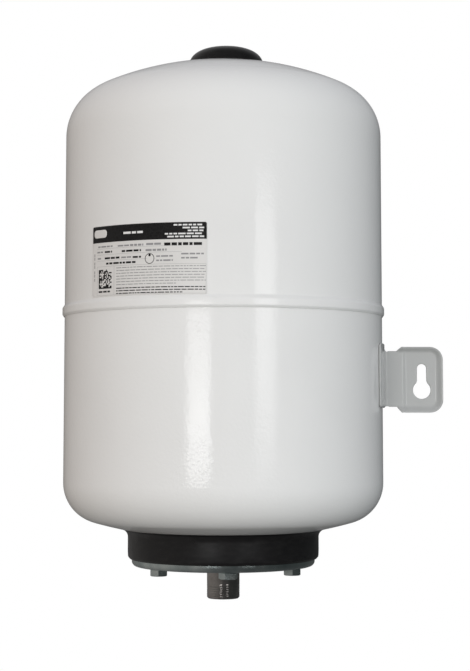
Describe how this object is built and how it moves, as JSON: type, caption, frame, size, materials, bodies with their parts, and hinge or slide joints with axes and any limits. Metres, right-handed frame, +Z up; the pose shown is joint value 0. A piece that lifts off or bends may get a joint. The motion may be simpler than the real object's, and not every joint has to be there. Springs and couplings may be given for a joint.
{
  "type": "expansion vessel",
  "caption": "Vertical steel expansion vessel with a bolted flange below, an air valve under a cap on top and a keyhole wall bracket at the side.",
  "frame": {"origin": "centre of the end face of the male water connection, the lowest point of the vessel", "axes": "+Z up along the vessel's axis, from the water connection to the air valve; +X towards the wall bracket; -Y towards the side seen from the front, with the rating label between -X and -Y"},
  "size_m": [0.3122, 0.2638, 0.4528],
  "materials": {
    "enamel": "glossy off-white enamel on steel with light orange peel",
    "raw_steel": "turned steel, lightly oxidised",
    "black_plastic": "satin black moulded plastic",
    "zinc_steel": "bright zinc plating with a slight blue-green tone",
    "nickel": "nickel plated, turned and threaded",
    "butyl_rubber": "moulded black butyl",
    "nitrile_rubber": "black nitrile, smooth",
    "label_film": null,
    "brass": "turned brass",
    "spring_steel": "stainless spring wire"
  },
  "bodies": {
    "vessel": {"upper_shell": "enamel", "lower_shell": "enamel", "wall_bracket": "enamel", "neck_ring": "raw_steel", "valve_boss": "raw_steel", "collar_ring": "black_plastic", "flange_plate": "zinc_steel", "water_connection": "nickel", "bladder": "butyl_rubber", "valve_seal": "nitrile_rubber", "rating_label": "label_film", "valve_stem": "brass", "valve_core_barrel": "brass", "valve_core_spring": "spring_steel", "flange_bolt_1": "zinc_steel", "flange_bolt_2": "zinc_steel", "flange_bolt_3": "zinc_steel", "flange_bolt_4": "zinc_steel", "flange_bolt_5": "zinc_steel", "flange_bolt_6": "zinc_steel"},
    "valve_cover": {"valve_cover": "black_plastic", "valve_cover_hub": "black_plastic"},
    "valve_pin": {"valve_core_pin": "brass", "valve_core_seal": "nitrile_rubber"}
  },
  "joints": [
    {"name": "valve_cover_lift", "type": "slide", "parent": "vessel", "child": "valve_cover", "axis": [0, 0, 1], "range_m": [0, 0.04]},
    {"name": "valve_pin_press", "type": "slide", "parent": "vessel", "child": "valve_pin", "axis": [0, 0, -1], "range_m": [0, 0.0015], "stiffness_N_per_m": 400, "springref_m": -0.004, "deforming": ["valve_core_spring"]}
  ]
}
